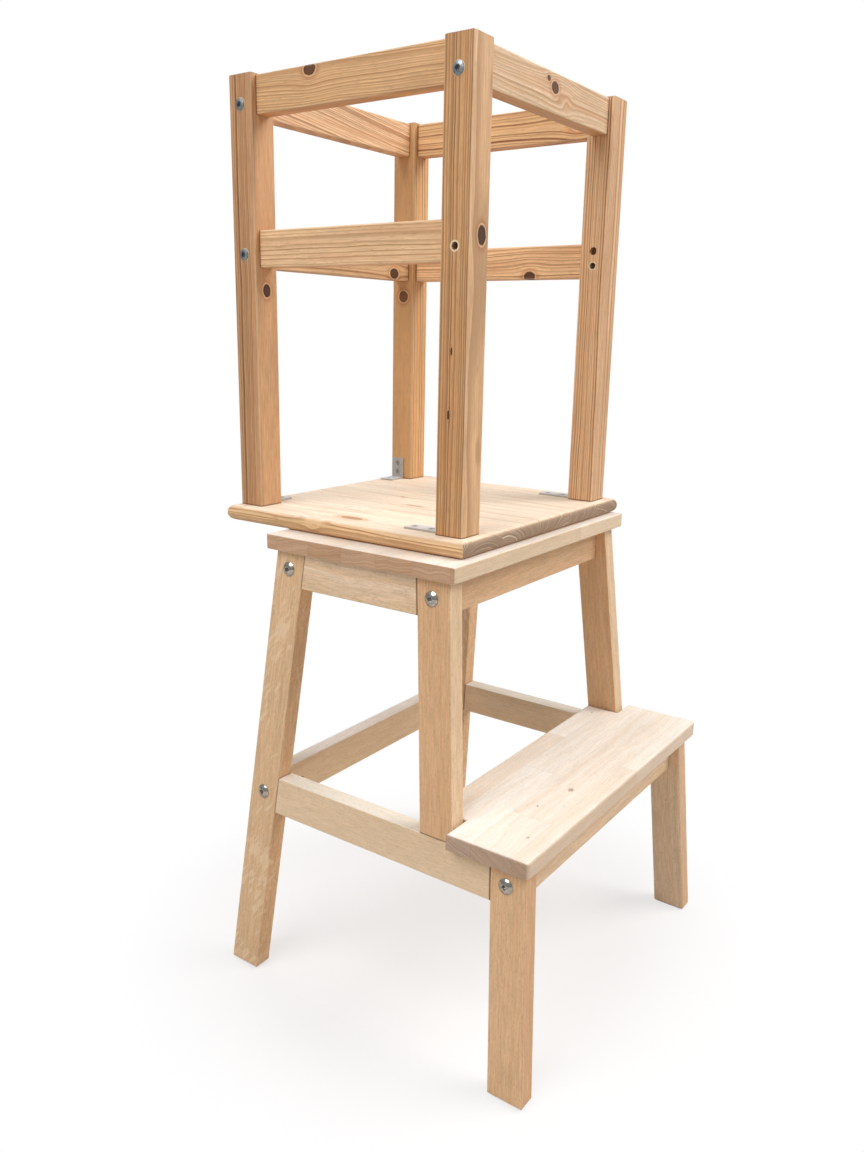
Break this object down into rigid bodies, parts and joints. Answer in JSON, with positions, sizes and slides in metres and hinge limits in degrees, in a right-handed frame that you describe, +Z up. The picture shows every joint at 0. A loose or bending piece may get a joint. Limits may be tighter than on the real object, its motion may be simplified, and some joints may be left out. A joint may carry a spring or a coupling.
{
  "type": "toddler kitchen helper stool",
  "caption": "Wooden step stool with splayed legs and a low front step, with a square guard frame on its own platform bolted on top, for a small child to stand at a worktop.",
  "frame": {"origin": "on the floor, under the middle of the whole object's bounding box", "axes": "+Z up, +Y from the step at the front to the back, +X to the right of someone who climbs the step"},
  "size_m": [0.4234, 0.434, 0.95],
  "materials": {
    "beech": "clear matt lacquer",
    "pine": "planed, darkened with age",
    "nickel_steel": "bright nickel plated",
    "zinc_steel": "dull zinc plated"
  },
  "bodies": {
    "root": {"top_board": "beech", "step_tread": "beech", "rear_leg_left": "beech", "rear_leg_right": "beech", "front_post_left": "beech", "front_post_right": "beech", "step_leg_left": "beech", "step_leg_right": "beech", "side_rail_left": "beech", "side_rail_right": "beech", "top_side_apron_left": "beech", "top_side_apron_right": "beech", "front_apron": "beech", "back_apron": "beech", "rear_stretcher": "beech", "step_apron": "beech", "side_frame_dowels": "beech", "cross_rail_dowels": "beech", "guard_cross_dowels": "beech", "guard_side_dowels": "beech", "platform": "pine", "guard_post_front_left": "pine", "guard_post_front_right": "pine", "guard_post_rear_left": "pine", "guard_post_rear_right": "pine", "guard_top_rail_front": "pine", "guard_top_rail_back": "pine", "guard_top_rail_left": "pine", "guard_top_rail_right": "pine", "guard_mid_rail_back": "pine", "guard_mid_rail_left": "pine", "guard_mid_rail_right": "pine", "stool_bolts": "nickel_steel", "stool_barrel_nuts": "nickel_steel", "guard_bolts": "zinc_steel", "guard_barrel_nuts": "zinc_steel", "front_brackets": "zinc_steel", "rear_brackets": "zinc_steel", "bracket_screws": "zinc_steel", "top_board_screws": "zinc_steel", "tread_screws": "zinc_steel", "platform_screws": "zinc_steel"}
  },
  "joints": []
}
